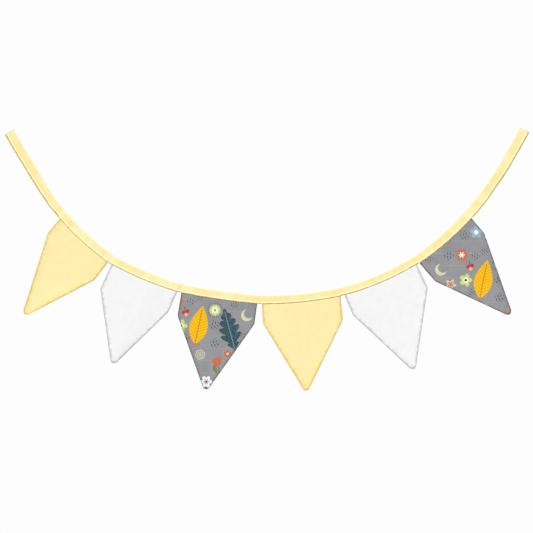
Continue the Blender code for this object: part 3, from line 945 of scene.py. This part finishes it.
class Flag:
    """A sewn and turned flag: a grid between its left and right sides, whose last row is the tip's arc."""

    def __init__(self, tape, row, number):
        self.tape, self.row, self.number = tape, row, number
        self.left, self.right = tape.span(row["stretch"])
        self.corners = [tape.place(s, tape.at(s)["width"]) for s in (self.left, self.right)]
        (x0, z0), (x1, z1) = self.corners
        self.chord = math.hypot(x1 - x0, z1 - z0)
        self.along = ((x1 - x0) / self.chord, (z1 - z0) / self.chord)
        self.down = (self.along[1], -self.along[0])
        self.tip = self.local(row["tip_along"], row["tip_drop"])
        self.sides = [
            self.side(self.left, self.local(-row["left_out"], row["left_drop"])),
            self.side(self.right, self.local(self.chord + row["right_out"], row["right_drop"])),
        ]
        self.rows = len(self.sides[0]) - 1
        self.columns = 2 * (len(EDGE) - 1) + FIELD_COLUMNS + 1

    def local(self, along, down):
        return tuple(self.corners[0][i] + along * self.along[i] + down * self.down[i] for i in (0, 1))

    def flat(self, point):
        """A point's place along and down the flag, from its upper left corner."""
        off = (point[0] - self.corners[0][0], point[1] - self.corners[0][1])
        return tuple(off[0] * axis[0] + off[1] * axis[1] for axis in (self.along, self.down))

    def header_point(self, station, below):
        below = self.tape.at(station)["width"] + BELOW_TAPE if below is None else below
        return self.tape.place(station, below)

    def side(self, station, shoulder):
        """One side's points, from the raw top edge to where the tip's arc starts."""
        top = [self.header_point(station, below) for below in HEADER_ROWS]
        drop = math.dist(top[-1], shoulder)
        slant = math.dist(shoulder, self.tip)
        before = lerp(top[-1], shoulder, 1.0 - SHOULDER_ROUND / drop)
        after = lerp(shoulder, self.tip, SHOULDER_ROUND / slant)
        short_side = [lerp(top[-1], before, i / SHORT_SIDE_ROWS) for i in range(1, SHORT_SIDE_ROWS)]
        turns = [step / SHOULDER_ROWS for step in range(SHOULDER_ROWS + 1)]
        corner = [lerp(lerp(before, shoulder, turn), lerp(shoulder, after, turn), turn) for turn in turns]
        arc_start = slant - TIP_RADIUS / math.tan(self.tip_angle() / 2)
        long_side = []
        for step in range(1, LONG_SIDE_ROWS + 1):
            distance = mix(SHOULDER_ROUND, arc_start - EDGE[-1][0], step / LONG_SIDE_ROWS)
            long_side.append(lerp(shoulder, self.tip, distance / slant))
        rim = [lerp(shoulder, self.tip, (arc_start - inward) / slant) for inward, _ in reversed(EDGE[:-1])]
        return top + short_side + corner + long_side + rim

    def tip_angle(self):
        row = self.row
        left_run = row["tip_along"] + row["left_out"]
        right_run = self.chord + row["right_out"] - row["tip_along"]
        left = math.atan2(left_run, row["tip_drop"] - row["left_drop"])
        right = math.atan2(right_run, row["tip_drop"] - row["right_drop"])
        return left + right

    def slants(self, row):
        """How much longer each side's seam is when it is measured along the row."""
        found = []
        a, b = self.sides[0][row], self.sides[1][row]
        width = math.dist(a, b)
        for side in self.sides:
            p, q = side[max(row - 1, 0)], side[min(row + 1, self.rows)]
            cross = (b[0] - a[0]) * (q[1] - p[1]) - (b[1] - a[1]) * (q[0] - p[0])
            square = abs(cross) / (width * math.dist(p, q))
            found.append(1.0 / max(0.7, square))
        return found

    def distances(self, row):
        """The columns' distances in from the left side along a row, and the row's width."""
        width = math.dist(self.sides[0][row], self.sides[1][row])
        squeeze = min(1.0, (0.30 * width - BEAD) / (EDGE[-1][0] - BEAD))
        rim = [inward if inward <= BEAD else BEAD + (inward - BEAD) * squeeze for inward, _ in EDGE]
        left, right = ([inward * slant for inward in rim] for slant in self.slants(row))
        steps = FIELD_COLUMNS + 1
        inner = [mix(left[-1], width - right[-1], step / steps) for step in range(1, steps)]
        return left + inner + [width - distance for distance in reversed(right)], width

    def bow(self, row, share):
        """What bends a row off its straight line: the tape's curve above, the tip's arc below."""
        last = len(HEADER_ROWS) - 1
        if row <= last:
            curve = self.header_point(mix(self.left, self.right, share), HEADER_ROWS[row])
            straight = lerp(self.sides[0][row], self.sides[1][row], share)
            return curve[0] - straight[0], curve[1] - straight[1]
        fade = 1.0 - smooth((row - last) / (self.rows - len(EDGE) - last))
        half = (math.pi - self.tip_angle()) / 2
        arc = TIP_RADIUS * (math.cos(half * (2.0 * share - 1.0)) - math.cos(half))
        sag = arc * smooth((row - self.rows + len(EDGE) + 3) / (len(EDGE) + 3))
        return tuple(top * fade + sag * down for top, down in zip(self.bow(last, share), self.down))

    def flat_size(self):
        """The flag's width, length and area on the table, sewn and pressed, from its corners and its tip."""
        row, header = self.row, self.tape.at(self.left)["width"] - HEADER_TOP
        outline = [*self.sides[0], *reversed(self.sides[1])]
        pairs = zip(outline, outline[1:] + outline[:1])
        area = abs(sum(a[0] * b[1] - b[0] * a[1] for a, b in pairs)) / 2
        return self.chord + row["left_out"] + row["right_out"], row["tip_drop"] + header, area

    def folds(self, along, down):
        """How far the flag's soft folds put a point back, in metres."""
        back = 0.0
        for x, y, angle, length, half, depth in FLAG_FOLDS[self.row["node"]]:
            dx, dy = along / MM - x, down / MM - y
            cosine, sine = math.cos(math.radians(angle)), math.sin(math.radians(angle))
            lengthways, sideways = (dx * cosine + dy * sine) / length, (dy * cosine - dx * sine) / half
            back += depth * math.exp(-(lengthways**2) - sideways**2)
        return back * MM * smooth(down / FOLDS_FROM)

    def uneven(self, kind, along, down=0.0):
        size, pattern = FLAG_BUMPS[kind]
        return rumple(along, down, size, self.number * FLAG_PATTERN_STEP + pattern)

    def forward(self, along, down, share, near_edge):
        """How far a point stands out from the tape's middle: curled, cupped, twisted, folded and puckered."""
        free = smooth(down / FREE_FROM)
        drop = max(0.0, down - BELOW_TAPE) / self.row["tip_drop"]
        across = 2.0 * share - 1.0
        edges = self.row["cup"] * across**2 + self.row["twist"] * across
        forward = self.row["curl"] * drop**2 + edges * smooth(2.0 * drop) - self.folds(along, down)
        forward += RIM_WAVES * self.uneven("rim", along, down) * near_edge * free
        forward += FIELD_WAVES * self.uneven("field", along, down) * free
        gathers = math.exp(-((down / GATHERS_REACH) ** 2)) * free
        return forward + GATHERS * self.uneven("gathers", along) * gathers

    def make(self, material, cut):
        """The cloth's two layers, sewn together round their edges; cut is where the print lies, or None."""
        cloth = FlatCloth(self.columns, self.rows)
        bm = cloth.bm
        rows = [self.distances(row) for row in range(self.rows + 1)]
        halves, places, seam = {}, {}, []
        for vert, column, row in cloth.spots:
            distances, width = rows[row]
            share = distances[column] / width
            x, z = lerp(self.sides[0][row], self.sides[1][row], share)
            bow_x, bow_z = self.bow(row, share)
            x, z = x + bow_x, z + bow_z
            along, down = self.flat((x, z))
            station = mix(self.left, self.right, share)
            level = min(column, self.columns - column, self.rows - row, len(EDGE) - 1)
            inward, half = EDGE[level]
            near_edge = math.exp(-((inward / NEAR_EDGE) ** 2))
            vert.co = (x, self.tape.middle(station) - self.forward(along, down, share, near_edge), z)
            from_side = 0.9 * min(distances[column], width - distances[column])
            in_field = level == len(EDGE) - 1
            vert[cloth.edge] = max(inward, from_side) if in_field else inward if level else 0.0
            past_tape = down - self.flat(self.header_point(station, None))[1]
            half *= 1.0 + RIM_CHANGE * self.uneven("fullness", along, down) * near_edge
            halves[vert] = min(half, HEADER / 2 + max(0.0, past_tape) * OPENING_OUT)
            places[vert] = (x - cut[0], z - cut[1]) if cut else (along, -down)
            if level == 0 or row == 0:
                halves[vert] = 0.0
                seam.append(vert)
        twins = bmesh.ops.duplicate(bm, geom=[*bm.verts, *bm.edges, *bm.faces])["vert_map"]
        for vert, _, _ in cloth.spots:
            twin = twins[vert]
            places[twin] = (BACK_CUT - places[vert][0], places[vert][1])
            vert.co.y -= halves[vert]
            twin.co.y += halves[vert]
        cloth.unwrap(places)
        bmesh.ops.remove_doubles(bm, verts=seam + [twins[vert] for vert in seam], dist=WELD)
        bmesh.ops.recalc_face_normals(bm, faces=bm.faces)
        return put(bm, f"{self.row['node']}_cloth", material)


AMBIENT, BACKDROP = 0.52, 0.982  # the room's strength as a light, and as the camera sees it
LIT_POINT = (0.6, 0.0, -0.25)
# Each light: its place, its strength, and how soft it is, in degrees
LIGHTS = {"key": ((0.1, -2.4, 1.5), 1.925, 22.0), "back": ((1.6, 2.4, 1.2), 2.2, 40.0)}
FLOOR_MIDDLE, FLOOR_SIZE = (0.586, -0.9, -1.30), (5.0, 4.8)
CAMERA_PLACE, CAMERA_LENS = (0.5870, -2.8985, -0.3002), 85.0


def light(name):
    place, strength, softness = LIGHTS[name]
    sun = bpy.data.objects.new(name, bpy.data.lights.new(name, "SUN"))
    sun.data.energy = strength
    sun.data.angle = math.radians(softness)
    sun.location = place
    sun.rotation_euler = (Vector(LIT_POINT) - Vector(place)).to_track_quat("-Z", "Y").to_euler()
    bpy.context.scene.collection.objects.link(sun)


def studio():
    """A pale room, a soft light at the upper left and one behind, a pale floor and the camera square on."""
    scene = bpy.context.scene
    scene.view_settings.view_transform = "Standard"
    scene.world = bpy.data.worlds.new("pale_room")
    scene.world.use_nodes = True
    nodes, links = scene.world.node_tree.nodes, scene.world.node_tree.links
    seen = nodes.new("ShaderNodeLightPath")
    strength = nodes.new("ShaderNodeMix")
    strength.inputs[2].default_value = AMBIENT
    strength.inputs[3].default_value = BACKDROP
    links.new(seen.outputs["Is Camera Ray"], strength.inputs[0])
    links.new(strength.outputs[0], nodes["Background"].inputs["Strength"])
    nodes["Background"].inputs["Color"].default_value = (1.0, 1.0, 1.0, 1.0)
    for name in LIGHTS:
        light(name)
    bm = bmesh.new()
    bmesh.ops.create_grid(bm, x_segments=8, y_segments=8, size=0.5)
    x, y, z = FLOOR_MIDDLE
    for vert in bm.verts:
        vert.co = (x + vert.co.x * FLOOR_SIZE[0], y + vert.co.y * FLOOR_SIZE[1], z)
    floor = put(bm, "floor", floor_finish("floor_paint"))
    floor.visible_diffuse = False  # it throws no light back up, so the cloth is lit evenly from all round
    camera = bpy.data.objects.new("camera", bpy.data.cameras.new("camera"))
    camera.data.lens = CAMERA_LENS
    camera.location = CAMERA_PLACE
    camera.rotation_euler = (math.radians(90), 0.0, 0.0)
    scene.collection.objects.link(camera)
    scene.camera = camera


def main():
    studio()
    tape = Tape()
    cottons = {
        "yellow": plain_cotton("yellow_cotton_cloth", FLAG_YELLOWS, "yellow"),
        "white": plain_cotton("white_cotton_cloth", WHITES, "white"),
        "print": printed_cotton("printed_cotton_cloth"),
    }

    tape_piece = binding(tape, tape_cotton("yellow_tape_cloth"))
    stitches = topstitching(tape, thread_finish("yellow_thread"))
    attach(tape_piece, "root")
    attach(stitches, "root")
    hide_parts("binding_tape")
    for number, row in enumerate(FLAGS, start=1):
        cotton = row["node"].rsplit("_", 1)[1]
        flag = Flag(tape, row, number)
        piece = flag.make(cottons[cotton], CUTS.get(row["node"]))
        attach(piece, "root")
        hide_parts(row["node"])
        width, length, area = flag.flat_size()


main()
